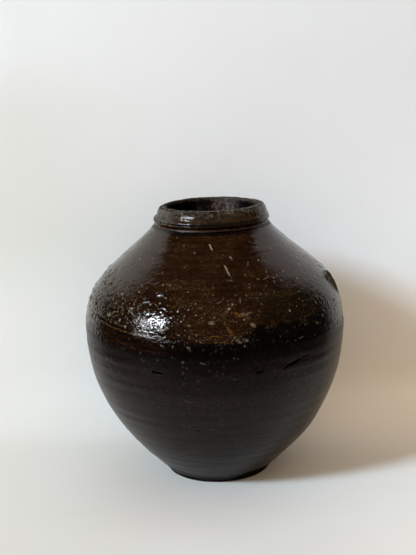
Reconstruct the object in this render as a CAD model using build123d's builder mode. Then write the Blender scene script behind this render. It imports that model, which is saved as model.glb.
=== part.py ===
import os
from math import cos, radians, sin

from build123d import *

# A broad-shouldered stoneware storage jar, coil built on a beaten clay disc.
# Its wall is a stack of clay strips, each lapped over the one below on a sloping lute joint.
# The foot stands on Z = 0, the axis of the jar is Z, and every size is in millimetres.

# Foot, a disc of beaten clay
heel_radius = 55.8
heel_height = 3.8
heel_bevel_width = 1.8
heel_bevel_height = 1.5
base_thickness = 11.0
base_flare = 7.6
standing_ring_width = 14.0
base_hollow_depth = 1.4
corner_coil_leg = 9.0

# Outer line of the wall, from the top of the disc to the belly and on to the neck
belly_radius = 135.0
base_to_belly = 148.5
belly_to_neck = 106.6
neck_setback = 10.8
base_reach_out = 41.5
base_reach_up = 40.4
belly_reach_down = 62.7
belly_reach_up = 59.8
neck_reach_out = 28.4
neck_reach_down = 41.2

# Thickness of the wall, measured square to its outer line
foot_wall = 9.6
neck_wall = 8.2

# Joints between the strips, as shares of the length of the outer line
lower_joint_shares = (0.155, 0.31, 0.465)
seam_share = 0.605
shoulder_joint_share = 0.765
neck_joint_share = 0.89

# Lute joints: the inner edge of a strip lies lower than its outer edge, and a strip swells outward
lap_drop = 6.0
strip_swell = 0.5
seam_step = 0.9

# Collar round the mouth
mouth_radius = 45.9
lip_width = 8.7
collar_height = 16.9
collar_overhang = 2.7
bulge_rise = 2.9
underside_setback = 0.7
underside_rise = 1.2
undercut_depth = 1.4
lip_outer_round = 1.8
lip_inner_round = 1.4

# Scar on the shoulder, a shallow dish where something stuck in the kiln was broken away
scar_share = 0.701
scar_azimuth = -11.5
scar_radius = 11.5
scar_depth = 2.4

# Places that follow from the sizes above
belly_height = base_thickness + base_to_belly
neck_height = belly_height + belly_to_neck
lip_height = neck_height + collar_height
base_top_radius = heel_radius + base_flare
neck_radius = mouth_radius + neck_setback
outward = (1, 0)
upward = (0, 1)
downward = (0, -1)

# The outer line is drawn flat, as radius and height. Its two curves meet upright at the belly.
with BuildLine() as outer_line:
    Bezier(
        (base_top_radius, base_thickness),
        (base_top_radius + base_reach_out, base_thickness + base_reach_up),
        (belly_radius, belly_height - belly_reach_down),
        (belly_radius, belly_height),
    )
    Bezier(
        (belly_radius, belly_height),
        (belly_radius, belly_height + belly_reach_up),
        (neck_radius + neck_reach_out, neck_height - neck_reach_down),
        (neck_radius, neck_height),
    )
outer_wall = outer_line.wire()
lap_share = lap_drop / outer_wall.length


def outer_point(share, swell=0.0):
    """Radius and height at a share of the outer line, moved out square to it by a swell."""
    spot = outer_wall @ share
    along = outer_wall % share
    return (spot.X + swell * along.Y, spot.Y - swell * along.X)


def inner_point(share):
    """Radius and height on the inside of the wall, straight across from a share of its outer line."""
    return outer_point(share, -(foot_wall + (neck_wall - foot_wall) * share))


def joint_edges(share):
    """Outer and inner edge of the sloping joint at a share of the outer line."""
    return outer_point(share), inner_point(share - lap_share)


def inner_line(low, high, start, end):
    """Arc along the inside of a strip, between its inner edges."""
    return ThreePointArc(start, inner_point((low + high) / 2 - lap_share), end)


def make_strip(name, low, high, lower_edges, upper_edges):
    """One strip of the wall between two shares. Each pair of edges is the outer and the inner one."""
    with BuildPart() as strip:
        with BuildSketch(Plane.XZ):
            with BuildLine():
                ThreePointArc(lower_edges[0], outer_point((low + high) / 2, strip_swell), upper_edges[0])
                Line(*upper_edges)
                inner_line(low, high, lower_edges[1], upper_edges[1])
                Line(*lower_edges)
            make_face()
        revolve(axis=Axis.Z)
    strip.part.label = name
    return strip.part


# The disc's underside is hollowed a little, so the jar stands on a ring.
standing_radius = heel_radius - heel_bevel_width
hollow_radius = standing_radius - standing_ring_width
with BuildPart() as base_disc:
    with BuildSketch(Plane.XZ):
        with BuildLine():
            Polyline(
                (0, base_hollow_depth),
                (0, base_thickness),
                (base_top_radius, base_thickness),
                (heel_radius, heel_height),
                (heel_radius, heel_bevel_height),
                (standing_radius, 0),
                (hollow_radius, 0),
            )
            TangentArc((0, base_hollow_depth), (hollow_radius, 0), tangent=outward)
        make_face()
    revolve(axis=Axis.Z)
base_disc.part.label = "base_disc"
pieces = [base_disc.part]

# The first strip stands flat on the disc, and its inner edge is where the wall meets the floor.
rise_at_base = (outer_wall % 0).Y
floor_corner = (base_top_radius - foot_wall / rise_at_base, base_thickness)
base_edges = ((base_top_radius, base_thickness), floor_corner)
first_joint = lower_joint_shares[0]
first_edges = joint_edges(first_joint)
pieces.append(make_strip("lower_strip_1", 0, first_joint, base_edges, first_edges))

# A thin coil is pressed into the corner between floor and wall. Its back follows the wall's own arc.
wall_inside = inner_line(0, first_joint, floor_corner, first_edges[1])
coil_share = corner_coil_leg / wall_inside.length
coil_toe = (floor_corner[0] - corner_coil_leg, base_thickness)
coil_top = wall_inside @ coil_share
with BuildPart() as corner_coil:
    with BuildSketch(Plane.XZ):
        with BuildLine():
            Line(coil_toe, floor_corner)
            ThreePointArc(floor_corner, wall_inside @ (coil_share / 2), coil_top)
            TangentArc(coil_toe, coil_top, tangent=outward)
        make_face()
    revolve(axis=Axis.Z)
corner_coil.part.label = "corner_coil"
pieces.append(corner_coil.part)

# The other strips of the lower half. The last one passes the belly and ends at the seam.
lower_joints = lower_joint_shares + (seam_share,)
for number, (low, high) in enumerate(zip(lower_joints, lower_joints[1:]), start=2):
    pieces.append(make_strip(f"lower_strip_{number}", low, high, joint_edges(low), joint_edges(high)))

# The upper half sits a step further in than the lower one, which leaves a ledge all round at the seam.
seam_joint = Line(*joint_edges(seam_share))
seam_ledge = seam_joint.position_at(seam_step, position_mode=PositionMode.LENGTH)
seam_edges = (seam_ledge, joint_edges(seam_share)[1])
plain_strip = make_strip(
    "seam_strip", seam_share, shoulder_joint_share, seam_edges, joint_edges(shoulder_joint_share)
)

# The scar is a shallow dish cut into the strip above the seam by a ball.
scar_ball_radius = (scar_radius**2 + scar_depth**2) / (2 * scar_depth)
scar_reach, scar_height = outer_point(scar_share, scar_ball_radius - scar_depth)
scar_angle = radians(scar_azimuth)
with BuildPart() as seam_strip:
    add(plain_strip)
    with Locations((scar_reach * cos(scar_angle), scar_reach * sin(scar_angle), scar_height)):
        Sphere(scar_ball_radius, mode=Mode.SUBTRACT)
seam_strip.part.label = "seam_strip"
pieces.append(seam_strip.part)

# Two more strips close the shoulder in to the neck, which is cut off level for the collar.
shoulder_edges = joint_edges(shoulder_joint_share)
neck_edges = joint_edges(neck_joint_share)
collar_edges = ((neck_radius, neck_height), (mouth_radius, neck_height))
pieces.append(
    make_strip("shoulder_strip", shoulder_joint_share, neck_joint_share, shoulder_edges, neck_edges)
)
pieces.append(make_strip("neck_strip", neck_joint_share, 1, neck_edges, collar_edges))

# The collar is a thick band that stands on the neck. It is undercut where it meets the shoulder,
# bulges out over it and then leans in to the lip.
bulge = (neck_radius + collar_overhang, neck_height + bulge_rise)
underside_edge = (bulge[0] - underside_setback, neck_height + underside_rise)
lip_radius = mouth_radius + lip_width
lip_shoulder = (lip_radius, lip_height - lip_outer_round)
lip_crown = (lip_radius - lip_outer_round, lip_height)
with BuildPart() as rim_collar:
    with BuildSketch(Plane.XZ):
        with BuildLine():
            TangentArc(bulge, underside_edge, tangent=downward)
            Polyline(
                underside_edge,
                (neck_radius - undercut_depth, neck_height),
                (mouth_radius, neck_height),
                (mouth_radius, lip_height - lip_inner_round),
                (mouth_radius + lip_inner_round, lip_height),
                lip_crown,
            )
            RadiusArc(lip_crown, lip_shoulder, lip_outer_round)
            TangentArc(bulge, lip_shoulder, tangent=upward)
        make_face()
    revolve(axis=Axis.Z)
rim_collar.part.label = "rim_collar"
pieces.append(rim_collar.part)

os.makedirs("parts", exist_ok=True)
for piece in pieces:
    export_step(piece, f"parts/{piece.label}.step")
    print(piece.label, round(piece.volume), piece.is_valid)
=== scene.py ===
import math

import bpy
import numpy as np
from mathutils import Matrix, Vector


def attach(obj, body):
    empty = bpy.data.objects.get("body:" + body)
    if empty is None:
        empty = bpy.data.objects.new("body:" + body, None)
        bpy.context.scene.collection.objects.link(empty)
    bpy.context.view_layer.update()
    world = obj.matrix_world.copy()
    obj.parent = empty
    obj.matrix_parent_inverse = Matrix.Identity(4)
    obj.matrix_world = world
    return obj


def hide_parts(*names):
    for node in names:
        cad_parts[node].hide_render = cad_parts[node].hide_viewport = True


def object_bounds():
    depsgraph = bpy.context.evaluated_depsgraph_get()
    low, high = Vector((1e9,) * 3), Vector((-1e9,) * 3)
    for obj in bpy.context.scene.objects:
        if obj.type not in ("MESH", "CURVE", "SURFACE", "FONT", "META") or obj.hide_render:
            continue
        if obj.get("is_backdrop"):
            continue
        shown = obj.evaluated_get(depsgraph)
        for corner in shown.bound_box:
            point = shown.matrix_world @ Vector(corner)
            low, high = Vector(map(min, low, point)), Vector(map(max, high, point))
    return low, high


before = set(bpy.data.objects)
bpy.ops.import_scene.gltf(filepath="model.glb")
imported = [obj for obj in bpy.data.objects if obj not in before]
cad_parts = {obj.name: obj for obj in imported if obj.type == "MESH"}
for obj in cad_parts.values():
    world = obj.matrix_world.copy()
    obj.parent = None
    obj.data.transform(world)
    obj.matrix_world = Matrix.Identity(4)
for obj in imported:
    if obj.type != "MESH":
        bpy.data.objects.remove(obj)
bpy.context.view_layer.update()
mm = 0.001

# The jar's sizes are in millimetres, heights from the table and angles in degrees from +X towards +Y.
# The photographed side is at -90 degrees.
wallForm = {
    "base": (63.4, 11.0),
    "baseReach": (41.5, 40.4),
    "belly": (135.0, 159.5),
    "bellyDrop": (0, -62.7),
    "bellyRise": (0, 59.8),
    "neck": (56.7, 266.1),
    "neckReach": (28.4, -41.2),
    "curveSteps": 1500,
    "boreRadius": 45.9,
    "footWall": 9.6,
    "neckWall": 8.2,
    "lapDrop": 6.0,
    "columns": 896,
    "rowStep": 0.95,
    "innerRows": 12,
}

# Each strip of clay: its piece, the solid it stands for, and where it begins and ends on the outer line.
strips = (
    ("lower_wall_1", "lower_strip_1", 0.0, 0.155),
    ("lower_wall_2", "lower_strip_2", 0.155, 0.31),
    ("lower_wall_3", "lower_strip_3", 0.31, 0.465),
    ("lower_wall_4", "lower_strip_4", 0.465, 0.605),
    ("seam_wall", "seam_strip", 0.605, 0.765),
    ("shoulder_wall", "shoulder_strip", 0.765, 0.89),
    ("neck_wall", "neck_strip", 0.89, 1.0),
)

# How the hand and the wheel left the wall: heights over the plain line in millimetres, and numbers of marks.
surface = {
    "inset": 0.5,
    "wobble": 0.2,
    "bands": 0.2,
    "fineBands": 0.05,
    "skin": 0.045,
    "holes": 0.9,
    "pebbles": 1.15,
    "fingers": 0.35,
    "lumps": 330,
    "ashLumps": 130,
    "pits": 300,
    "seed": 11,
}

# Where the hand-built wall is fuller than a true round: angle, height, rise, and reach in height and angle.
fuller = (
    (180, 243, 1.9, 22, 75),
    (0, 243, 1.3, 22, 75),
    (-90, 240, 1.2, 24, 60),
    (0, 50, 2.2, 21, 50),
    (90, 240, 1.2, 24, 60),
    (4, 207, 1.5, 15, 42),
)

# The seam where the upper half was joined on runs a little aslant, and is deepest at one angle.
seam = {
    "middle": 183.1,
    "tilt": 11.7,
    "lowAngle": -60.0,
    "step": 0.25,
    "ridge": 0.4,
    "groove": 0.65,
    "deepestAngle": -146,
    "deepReach": 15,
    "faintest": 0.06,
}

scar = {"angle": -11.5, "share": 0.701, "wide": 12.5, "tall": 12.0, "depth": 2.2, "rim": 0.9}

# The top of the neck carries a thin bead under the collar, with a sharp groove below it.
neckBead = {"beadAt": 2.4, "bead": 0.5, "grooveAt": 4.4, "groove": 0.34}

# Marks in the glaze, placed one by one: angle, height, length, width and slope in degrees.
marks = {
    "dash": (
        (-91.5, 250, 8.5, 1.7, -70), (-78, 240, 5.5, 1.5, -75), (-82.5, 232.5, 7.5, 1.8, -75),
        (-81.5, 228.5, 5.5, 1.4, -70),
    ),
    "ash": (
        # on the shoulder, from the top down
        (-80.5, 226, 1.7, 1.4, -65), (-69, 225.5, 4.5, 1.4, -10), (-66, 222.5, 4, 1.7, -25),
        (-61.5, 222.5, 8.5, 1.6, 20), (-63.5, 217, 3, 1.5, -30), (-68, 211.5, 2.5, 2.5, -25),
        (-75, 211.5, 3, 2.3, -40), (-70.5, 208.5, 1.5, 2, -35), (-69, 203.5, 2.5, 1.6, -30),
        (-78.5, 208, 7, 1.9, -95), (-84, 205.5, 2, 2.3, -40), (-85, 200, 4, 2, -15),
        (-96.5, 203.5, 5, 1.6, 0), (-90.5, 213.5, 2.5, 1.9, -15), (-86, 210.5, 4.5, 1.1, -115),
        (-88, 207.5, 5.5, 1.3, -150), (-77.5, 196.5, 7, 2.7, -15), (-75.5, 197.5, 6.5, 2.6, 10),
        (-76, 193.5, 4, 2.4, -20), (-74.5, 187, 6.5, 4, -40), (-91.5, 191, 7, 4.2, -5),
        (-89, 193, 1, 1.9, -35), (-77.5, 189.5, 2, 2, -30), (-82.5, 177.5, 3.5, 2.2, 15),
        (-80, 178, 3, 1.8, -20), (-81.5, 175, 5, 2, 5), (-79, 175, 3, 2.6, 40),
        (-83.5, 174.5, 2, 1.6, 0), (-80.5, 173, 5, 2.6, -10), (-78, 174, 6.5, 3.2, -10),
        # at the left
        (-142.5, 189.5, 7, 4.6, -5), (-134.5, 187, 3, 2.5, -10), (-142.5, 209, 4, 2, -5),
        (-140, 200.5, 3.5, 2.5, -5), (-126, 191, 4, 2.7, -15), (-129, 217.5, 4, 2, -35),
        (-114.5, 221, 2.5, 2.2, 0),
        # below the seam
        (-112, 168.5, 1.5, 1.9, -10), (-107.5, 169, 2, 2.3, -45), (-101, 169, 4, 3.2, -15),
        (-103.5, 155, 2, 3.2, -25), (-103.5, 144.5, 2, 2.5, -45), (-121.5, 154.5, 1, 1.6, -30),
        (-118.5, 139.5, 1.5, 1.6, -10), (-95.5, 154, 6.5, 1.6, -15), (-95, 167.5, 1, 1.5, -45),
        (-88, 170.5, 1, 1.7, -50), (-91, 154, 1.5, 1.5, -70), (-93, 146.5, 3.5, 1.5, -85),
        (-90, 145.5, 1, 1.4, -35), (-87.5, 143.5, 3, 1.5, -65), (-84.5, 140, 3, 1.4, -70),
        (-111, 125.5, 3, 1.3, -40), (-101.5, 128.5, 2.5, 1.1, -85), (-116.5, 105.5, 2.5, 1.3, -75),
        (-102.5, 115, 7, 1.1, -15), (-98, 135, 2.5, 1.3, -5), (-103.5, 85.5, 2, 1.6, -45),
        (-95, 83, 17, 0.8, 0), (-106.5, 86.5, 5, 0.8, -5),
        # at the right
        (-49.5, 179.5, 4.5, 1.9, -25), (-43, 187, 1.5, 1.7, -50), (-43, 178.5, 13, 1.3, -20),
        (-45, 167, 2, 1.7, -30), (-54.5, 199.5, 1.5, 1.6, -40), (-68, 178, 1.5, 1.6, -45),
        (-53, 168.5, 6.5, 1.6, 10), (-60, 168, 2, 1.9, -60), (-56, 167, 2.5, 1.6, -25),
        (-62.5, 195, 2, 1.6, -35),
    ),
    "amber": (
        (-79.5, 195.5, 9, 2, -5), (-84.5, 183, 10.5, 4.4, -55), (-80.5, 198, 13, 2.7, -10),
        (-89.5, 179, 11, 1.7, -5), (-87, 173, 18.5, 1.9, -5), (-140, 169.5, 16, 1.6, -25),
        (-132, 167, 20, 1.8, -15), (-124, 163.5, 20, 1.5, -10),
    ),
    "slit": (
        (-119, 144, 7, 2, -5), (-115, 142.5, 12, 3.6, -10), (-104, 140, 5, 2.2, -5),
        (-60.5, 143, 8.5, 2.6, 30), (-56.5, 145.5, 16, 3.4, 15), (-51, 149, 8, 2, 10),
        (-72.5, 142, 9, 2.8, 5), (-98.5, 81, 13.5, 0.9, -10), (-116, 211.5, 8, 1.3, 15),
    ),
    "ridge": (
        (-110, 224.5, 46, 2.2, -13), (-114, 218, 50, 4, -7), (-114, 212.5, 22, 7.5, -7),
        (-122.5, 207.5, 10, 5, -5), (-113.5, 203, 10, 4, -5),
    ),
}


# Even random numbers at the corners of a lattice, blended in between: the lumps and waves of the clay.
# The large odd numbers only stir the bits, so that neighbouring corners get unlike values.
stirrers = [np.uint64(v) for v in (11400714819323198485, 14029467366897019727, 1609587929392839161)]
seedStirrer, lastStirrer = 2654435761, np.uint64(13787848793156543929)
lowBits = 0xFFFFFF


def cornerValue(x, y, z, seed):
    mixed = np.uint64((seed * seedStirrer) % (1 << 63))
    for value, stirrer in zip((x, y, z), stirrers):
        mixed = mixed ^ value.astype(np.uint64) * stirrer
    mixed ^= mixed >> np.uint64(29)
    mixed *= lastStirrer
    mixed ^= mixed >> np.uint64(32)
    return (mixed & np.uint64(lowBits)).astype(float) / lowBits * 2 - 1


def clayNoise(x, y, z, seed):
    cell = [np.floor(v).astype(np.int64) for v in (x, y, z)]
    part = [v - c for v, c in zip((x, y, z), cell)]
    ease = [p * p * p * (p * (p * 6 - 15) + 10) for p in part]
    total = 0
    for i in (0, 1):
        for j in (0, 1):
            for k in (0, 1):
                share = (
                    (ease[0] if i else 1 - ease[0])
                    * (ease[1] if j else 1 - ease[1])
                    * (ease[2] if k else 1 - ease[2])
                )
                total = total + share * cornerValue(cell[0] + i, cell[1] + j, cell[2] + k, seed)
    return total


def easeStep(value, low, high):
    t = np.clip((value - low) / (high - low), 0, 1)
    return t * t * (3 - 2 * t)


def hump(value, middle, reach):
    return np.exp(-(((value - middle) / reach) ** 2))


def degreesFrom(angle, middle):
    return (np.degrees(angle) - middle + 180) % 360 - 180


def ringNoise(angle, waves, shift, level, seed):
    # noise that runs round the jar, the same at every radius
    return clayNoise(np.cos(angle) * waves + shift, np.sin(angle) * waves + shift, level, seed)


def grainNoise(place, wide, tall, seed):
    # noise with lumps of so many mm across and up
    x, y, z = place
    return clayNoise(x / wide, y / wide, z / tall, seed)


def lengthsAlong(points):
    return np.concatenate([[0], np.cumsum(np.hypot(*np.diff(points, axis=0).T))])


def pointsAt(at, length, points):
    return np.stack([np.interp(at, length, points[:, k]) for k in (0, 1)], -1)


def directions(line):
    along = np.gradient(line, axis=0)
    return along / np.hypot(*along.T)[:, None]


def ringAngles(columns):
    return np.arange(columns) / columns * 2 * math.pi


def ringSpots(radius, height, angles):
    return np.stack([radius * np.cos(angles), radius * np.sin(angles), height], -1)


def spun(line, columns):
    # an outline turned round the axis: the angle, the radius, the height and the place of every spot
    angles = ringAngles(columns)
    r, z = (line[:, k, None] + angles * 0 for k in (0, 1))
    return angles, r, z, (r * np.cos(angles), r * np.sin(angles), z)


# The outer line of the wall, as radius and height: two curves that meet upright at the belly.
def curve(start, startReach, endReach, end):
    t = np.linspace(0, 1, w["curveSteps"])[:, None]
    b, c = start + startReach, end + endReach
    return start * (1 - t) ** 3 + 3 * b * t * (1 - t) ** 2 + 3 * c * t**2 * (1 - t) + end * t**3


w = wallForm
basePoint, bellyPoint, neckPoint = (np.array(w[key]) for key in ("base", "belly", "neck"))
lowerCurve = curve(basePoint, w["baseReach"], w["bellyDrop"], bellyPoint)
upperCurve = curve(bellyPoint, w["bellyRise"], w["neckReach"], neckPoint)
outerLine = np.vstack([lowerCurve, upperCurve[1:]])
lineAt = lengthsAlong(outerLine)
lineLength = lineAt[-1]
lineShare = lineAt / lineLength
lineAlong = directions(outerLine)
floorCorner = basePoint[0] - w["footWall"] / lineAlong[0][1]


def onLine(share):
    radius, height = (np.interp(share, lineShare, outerLine[:, k]) for k in (0, 1))
    alongR, alongZ = (np.interp(share, lineShare, lineAlong[:, k]) for k in (0, 1))
    return radius, height, alongZ, -alongR


def shareAtHeight(height):
    return np.interp(height, outerLine[:, 1], lineShare)


def innerOnLine(share):
    radius, height, outR, outZ = onLine(share)
    thick = w["footWall"] + (w["neckWall"] - w["footWall"]) * share
    return radius - thick * outR, height - thick * outZ


# Random lumps, grains of ash and pits, thicker on the shoulder, where ash falls in the kiln: the kind,
# how many, where they begin and end on the outer line, smallest and largest size, lift per mm of size.
sprinkled = (
    ("lump", surface["lumps"], 0.56, 0.79, 0.9, 2.6, 0.16),
    ("lump", surface["lumps"] // 4, 0.79, 0.96, 0.7, 1.6, 0.08),
    ("lump", surface["lumps"] // 3, 0.04, 0.56, 0.8, 1.8, 0.1),
    ("ash", surface["ashLumps"], 0.56, 0.86, 0.7, 1.7, 0.14),
    ("ash", surface["ashLumps"] // 3, 0.44, 0.56, 0.7, 1.5, 0.12),
    ("pit", surface["pits"], 0.1, 0.95, 0.7, 1.5, -0.22),
)

# How far the listed marks stand out, per mm of their width, and the width at which that stops.
placedLift = {
    "ash": (0.16, 2),
    "slit": (-0.22, 9),
    "amber": (0.02, 9),
    "ridge": (0.115, 9),
    "dash": (0.12, 9),
}
shownMarks = ("ash", "pit", "slit", "amber", "dash")
rng = np.random.default_rng(surface["seed"])


def scattered(count, low, high, smallest, largest, lift):
    rows = []
    while len(rows) < count:
        angle, share = rng.uniform(-180, 180), rng.uniform(low, high)
        if rng.uniform() * bellyPoint[0] > onLine(share)[0]:
            continue
        size = smallest + (largest - smallest) * rng.uniform() ** 2.2
        length, slope = size * rng.uniform(0.0, 1.1), rng.uniform(-25, 25)
        rows.append((angle, share * lineLength, length, size, slope, lift * size))
    return rows


def placed(kind, lift, widest):
    rows = []
    for angle, height, length, width, slope in marks[kind]:
        along = shareAtHeight(height) * lineLength
        rows.append((angle, along, max(length - width, 0), width, slope, lift * min(width, widest)))
    return rows


markRows = {kind: [] for kind in ("lump", *shownMarks, "ridge")}
for kind, *how in sprinkled:
    markRows[kind] += scattered(*how)
for kind, how in placedLift.items():
    markRows[kind] += placed(kind, *how)


def nearest(rows, angle, along, radius, reach=3.0):
    # distance in mm to the edge of the nearest mark, and the summed lift of all marks
    gap = np.full(angle.shape, reach)
    lift = np.zeros(angle.shape)
    furthest = 12  # no mark reaches further up or down from its middle
    for markAngle, markAlong, length, width, slope, rise in rows:
        if not along.min() - furthest < markAlong < along.max() + furthest:
            continue
        side = np.radians(degreesFrom(angle, markAngle)) * radius
        up = along - markAlong
        near = np.maximum(abs(side), abs(up)) < length / 2 + width + reach
        if not near.any():
            continue
        turn = math.radians(slope)
        x = side[near] * math.cos(turn) + up[near] * math.sin(turn)
        y = up[near] * math.cos(turn) - side[near] * math.sin(turn)
        edge = np.hypot(np.maximum(abs(x) - length / 2, 0), y) - width / 2
        gap[near] = np.minimum(gap[near], edge)
        lift[near] += rise * easeStep(-edge, -0.6, width * 0.5)
    return gap, lift


def seamHeight(angle):
    return seam["middle"] - seam["tilt"] * np.cos(angle - math.radians(seam["lowAngle"]))


def wallFields(angle, along):
    # what every spot of the outside carries: how far it stands off the plain line, and where the marks are
    share = along / lineLength
    radius, height = onLine(share)[:2]
    cosine = np.cos(angle)
    place = (radius * cosine, radius * np.sin(angle), along)
    seamGap = along - shareAtHeight(seamHeight(angle)) * lineLength
    below = 1 - easeStep(seamGap, -1.5, 2.5)
    # held in at the belly, so that the widest place keeps to the solids' size
    belly = easeStep(radius, 128.0, 134.0)
    lift = -surface["inset"] * belly + surface["wobble"] * ringNoise(angle, 1.3, 5, along / 42, 3)
    for fullAngle, fullHeight, rise, tall, wide in fuller:
        lift += rise * hump(height, fullHeight, tall) * hump(degreesFrom(angle, fullAngle), 0, wide)
    lift += surface["bands"] * ringNoise(angle, 1.6, 9, along / 6.3, 4) * (0.45 + 0.55 * below)
    lift += surface["fineBands"] * ringNoise(angle, 2.5, 2, along / 2.6, 5)
    # the glaze is pebbly from the ash that fell on it, most of all at the sides of the upper half
    patch = easeStep(grainNoise(place, 17, 13, 15), -0.25, 0.45)
    sides = (0.08 + 0.92 * easeStep(abs(cosine), 0.64, 0.92)) * (1 - 0.45 * easeStep(cosine, 0.5, 0.9))
    upper = 1 - easeStep(share, 0.76, 0.86) * (0.95 - 0.35 * easeStep(abs(cosine), 0.8, 0.95))
    pebbly = easeStep(share, 0.40, 0.60) * upper * (0.4 + 0.6 * patch) * sides
    pebbly = 0.3 * patch * sides + 0.85 * pebbly
    grain = grainNoise(place, 6.5, 4.5, 6) + 0.6 * grainNoise(place, 3.1, 2.5, 7)
    lift += surface["skin"] * grain * (0.4 + 0.8 * pebbly)
    lift -= surface["holes"] * np.maximum(grainNoise(place, 2.1, 1.7, 13) - 0.3, 0) * pebbly
    lift += surface["pebbles"] * np.maximum(grainNoise(place, 3.4, 2.6, 14) - 0.28, 0) * pebbly
    fields = {"along": along, "seamGap": np.clip(seamGap, -60, 130)}
    for kind, rows in markRows.items():
        gap, markLift = nearest(rows, angle, along, radius)
        lift += markLift
        if kind in shownMarks:
            fields[kind + "Gap"] = gap
    # the bead and the groove under the collar
    toNeck = lineLength - along
    bead = neckBead["bead"] * hump(toNeck, neckBead["beadAt"], 1.1)
    lift += bead * (0.8 + 0.3 * ringNoise(angle, 12, 0, along * 0, 16))
    lift -= neckBead["groove"] * hump(toNeck, neckBead["grooveAt"], 0.75)
    # the seam is deepest at the left of the photographed side
    strong = hump(degreesFrom(angle, seam["deepestAngle"]), 0, seam["deepReach"])
    strong = seam["faintest"] + (1 - seam["faintest"]) * strong
    strong = strong * (0.75 + 0.25 * ringNoise(angle, 9, 0, along * 0, 8))
    lift += seam["ridge"] * strong * hump(seamGap, -1.3, 1.1)
    lift -= seam["groove"] * strong * hump(seamGap, 0.9, 0.75)
    lift -= seam["step"] * easeStep(seamGap, -5, 6) * np.exp(-np.maximum(seamGap, 0) / 60)
    # the scar: a broken dish with a raised edge and a rough floor
    side = np.radians(degreesFrom(angle, scar["angle"])) * radius
    up = along - scar["share"] * lineLength
    turn = np.arctan2(up, side)
    ragged = 1 + 0.16 * ringNoise(turn, 1.7, 3, turn * 0 + 0.5, 9)
    reach = np.hypot(side / scar["wide"], up / scar["tall"]) * ragged
    dish = 1 - easeStep(reach, 0.72, 1.0)
    rough = 0.6 * grainNoise(place, 2.1, 2.1, 10) + 0.8 * grainNoise(place, 4.8, 4.8, 12)
    lift = lift * (1 - dish) + dish * (rough - scar["depth"])
    lift += scar["rim"] * hump(reach, 1.07, 0.10) * (0.5 + 1.3 * easeStep(up, 0, 11))
    fields["scarGap"] = np.clip((reach - 0.98) * 11, -3, 3)
    return lift, fields


def onWall(angle, along, lift):
    radius, height, outR, outZ = onLine(along / lineLength)
    return ringSpots(radius + lift * outR, height + lift * outZ, angle)


def surfaceNormals(spots):
    # from a grid with one spare row at each end, closed round the jar
    acrossStep = np.roll(spots, -1, 1) - np.roll(spots, 1, 1)
    upStep = spots[2:] - spots[:-2]
    normal = np.cross(acrossStep[1:-1], upStep)
    return normal / np.linalg.norm(normal, axis=-1)[..., None]


# Joins rings of points into a closed shell. Rows go up the outside, over, down the inside and back.
# Each band of rows is laid out on the shell's one map in that many lengths, one over another.
mapEdge, mapGap = 0.004, 0.006


def ringShell(name, spots, fields, normals, bands, solids, material):
    rows, columns = spots.shape[:2]
    i, j = np.meshgrid(np.arange(rows), np.arange(columns), indexing="ij")
    nextI, nextJ = (i + 1) % rows * columns, (j + 1) % columns
    faces = np.stack([i * columns + j, i * columns + nextJ, nextI + nextJ, nextI + j], -1).reshape(-1, 4)
    mesh = bpy.data.meshes.new(name)
    mesh.from_pydata((spots.reshape(-1, 3) * mm).tolist(), [], faces.tolist())
    mesh.polygons.foreach_set("use_smooth", np.ones(len(faces), bool))
    for field, values in fields.items():
        layer = mesh.attributes.new(field, "FLOAT", "POINT")
        layer.data.foreach_set("value", np.asarray(values, np.float32).ravel())
    corner = np.zeros((rows, columns, 4, 2))
    floor = mapEdge
    for start, stop, lengths, tall in bands:
        span = columns // lengths
        each = tall / lengths
        local = (j[start:stop] % span) / span
        level = (i[start:stop] - start) / (stop - start)
        base = floor + (j[start:stop] // span) * each
        for k, (stepJ, stepI) in enumerate(((0, 0), (1, 0), (1, 1), (0, 1))):
            corner[start:stop, :, k, 0] = mapEdge + (1 - 2 * mapEdge) * (local + stepJ / span)
            corner[start:stop, :, k, 1] = base + (level + stepI / (stop - start)) * (each - mapGap)
        floor += tall
    layer = mesh.uv_layers.new(name="OFBake")
    layer.uv.foreach_set("vector", corner.astype(np.float32).ravel())
    if normals is not None:
        mesh.normals_split_custom_set_from_vertices(normals.reshape(-1, 3).tolist())
    mesh.materials.append(material)
    made = bpy.data.objects.new(name, mesh)
    bpy.context.scene.collection.objects.link(made)
    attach(made, "root")
    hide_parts(*solids)
    print(name, len(faces), "faces")
    return made


# Shader nodes: a wire is one output socket, and sums on wires add their Math nodes.
class Wire:
    def __init__(self, paint, socket):
        self.paint, self.socket = paint, socket

    def maths(self, operation, *values):
        return self.paint.node("ShaderNodeMath", {"operation": operation}, values)

    def __add__(self, other):
        return self.maths("ADD", self, other)

    def __sub__(self, other):
        return self.maths("SUBTRACT", self, other)

    def __rsub__(self, other):
        return self.maths("SUBTRACT", other, self)

    def __mul__(self, other):
        return self.maths("MULTIPLY", self, other)

    __radd__ = __add__
    __rmul__ = __mul__

    def max(self, other):
        return self.maths("MAXIMUM", self, other)

    def size(self):
        return self.maths("ABSOLUTE", self)

    def step(self, low, high):
        settings = {"interpolation_type": "SMOOTHSTEP"}
        return self.paint.node("ShaderNodeMapRange", settings, (self, low, high, 0.0, 1.0))

    def fall(self, low, high):
        return 1 - self.step(low, high)

    def within(self, near, far):
        # 1 where the value is nearer to zero than the first number, 0 where it is further than the second
        return self.size().fall(near, far)

    def swing(self, width):
        # a noise, which keeps to about one half, turned into a shift to either side
        return (self - 0.5) * width


# Deep places in a glaze, which mirror nothing; the same black is also mixed in as painted shade.
deepPlacesAndShade = {"Base Color": (0.001, 0.0008, 0.0007, 1), "Roughness": 0.9, "IOR": 1.04}


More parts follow.
